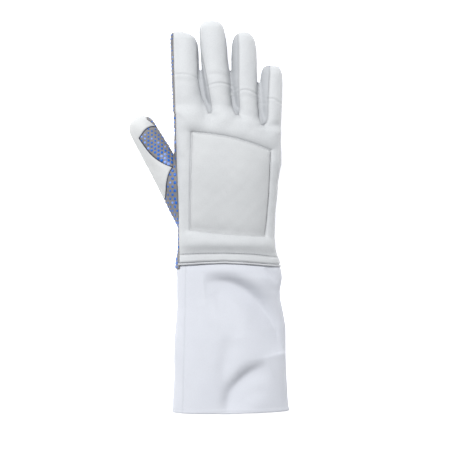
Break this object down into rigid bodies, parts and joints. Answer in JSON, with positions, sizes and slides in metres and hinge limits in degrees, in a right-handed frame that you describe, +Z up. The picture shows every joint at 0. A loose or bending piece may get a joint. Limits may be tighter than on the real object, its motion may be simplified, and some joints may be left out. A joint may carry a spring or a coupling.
{
  "type": "fencing glove",
  "caption": "Right-hand fencing glove with a long cloth gauntlet cuff, a padded leather back with a four-sided panel, and a dotted grip palm.",
  "frame": {"origin": "middle of the underside of the glove's box, on the table that it lies on", "axes": "+Y along the glove towards the fingertips, +Z up out of the back of the hand, -X towards the thumb"},
  "size_m": [0.1518, 0.3716, 0.0557],
  "materials": {
    "back_leather": "matt white sheepskin",
    "pad_leather": "matt white sheepskin over padding",
    "gusset_leather": "matt white sheepskin",
    "grip_fabric": "grey knit with raised blue rubber dots",
    "cuff_cloth": "smooth closely woven cloth",
    "piping_cord": "thin covered cord"
  },
  "bodies": {
    "root": {"cuff": "cuff_cloth", "wrist_band": "back_leather", "wrist_piping": "piping_cord", "hand_back": "back_leather", "back_pad": "pad_leather", "thumb_back": "back_leather", "thumb_grip": "grip_fabric", "palm": "grip_fabric", "index_back": "back_leather", "index_front": "grip_fabric", "middle_back": "back_leather", "middle_front": "grip_fabric", "ring_back": "back_leather", "ring_front": "grip_fabric", "little_back": "back_leather", "little_front": "grip_fabric", "index_middle_gusset": "gusset_leather", "middle_ring_gusset": "gusset_leather", "ring_little_gusset": "gusset_leather"}
  },
  "joints": []
}
